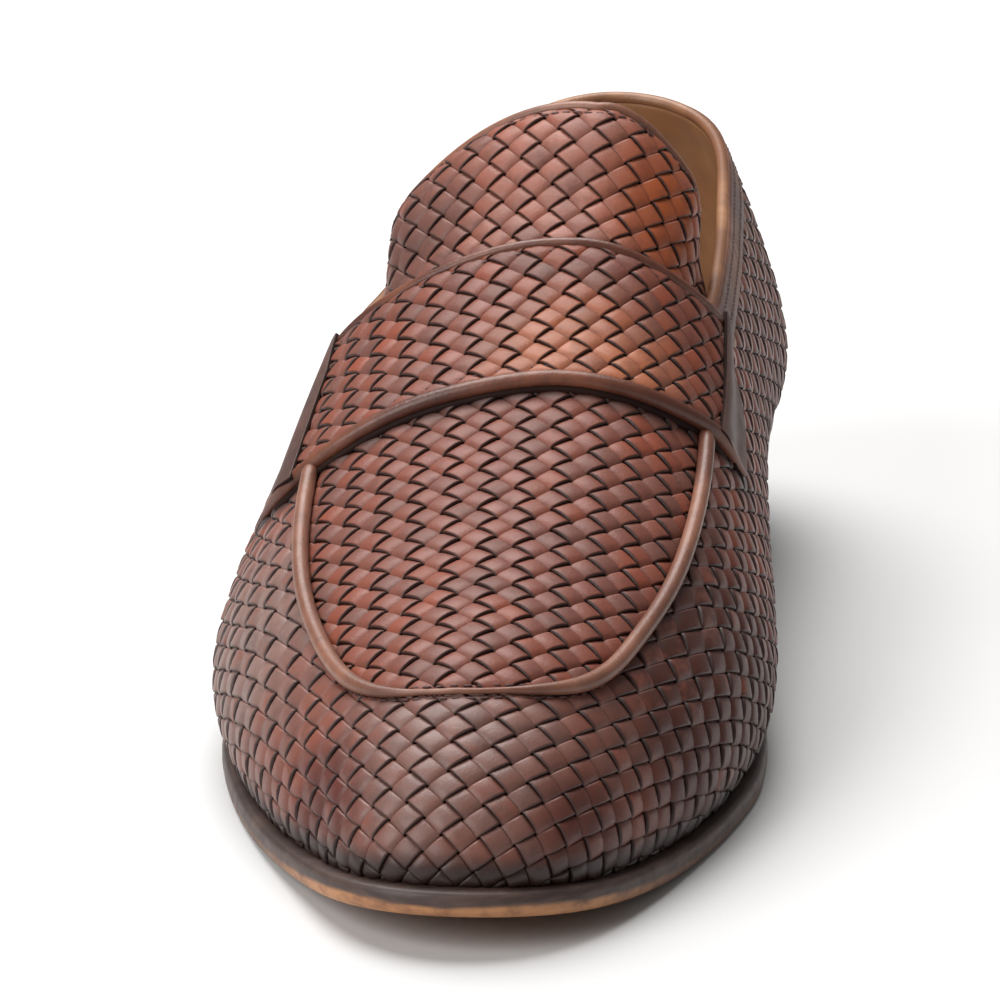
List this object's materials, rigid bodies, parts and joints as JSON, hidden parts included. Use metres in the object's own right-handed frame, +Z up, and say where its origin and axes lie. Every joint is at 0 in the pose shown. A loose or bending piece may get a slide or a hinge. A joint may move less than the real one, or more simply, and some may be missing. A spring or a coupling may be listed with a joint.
{
  "type": "woven leather loafer",
  "caption": "Slip-on leather loafer for the right foot with a woven upper, raised apron edge, saddle strap, tall tongue, thin leather sole and low heel.",
  "frame": {"origin": "middle of the shoe's footprint box on the floor it stands on", "axes": "+Z up, +Y from toe to heel, +X to the inner side of the foot"},
  "size_m": [0.113, 0.2986, 0.1163],
  "materials": {
    "outsole": "waxed edge, dark above and tan below",
    "heel": "dark polished stacked leather",
    "insole": "plain tan lining leather",
    "upper": "hand-burnished woven strips",
    "tongue": "woven strips with an orange-brown cast",
    "strap": "woven strips with a rolled front edge",
    "strap_tabs": "smooth burnished leather",
    "apron_piping": "smooth rolled leather"
  },
  "bodies": {
    "root": {"outsole": "outsole", "heel": "heel", "insole": "insole", "upper": "upper", "tongue": "tongue", "strap": "strap", "strap_tab_lateral": "strap_tabs", "strap_tab_medial": "strap_tabs", "apron_piping": "apron_piping"}
  },
  "joints": []
}
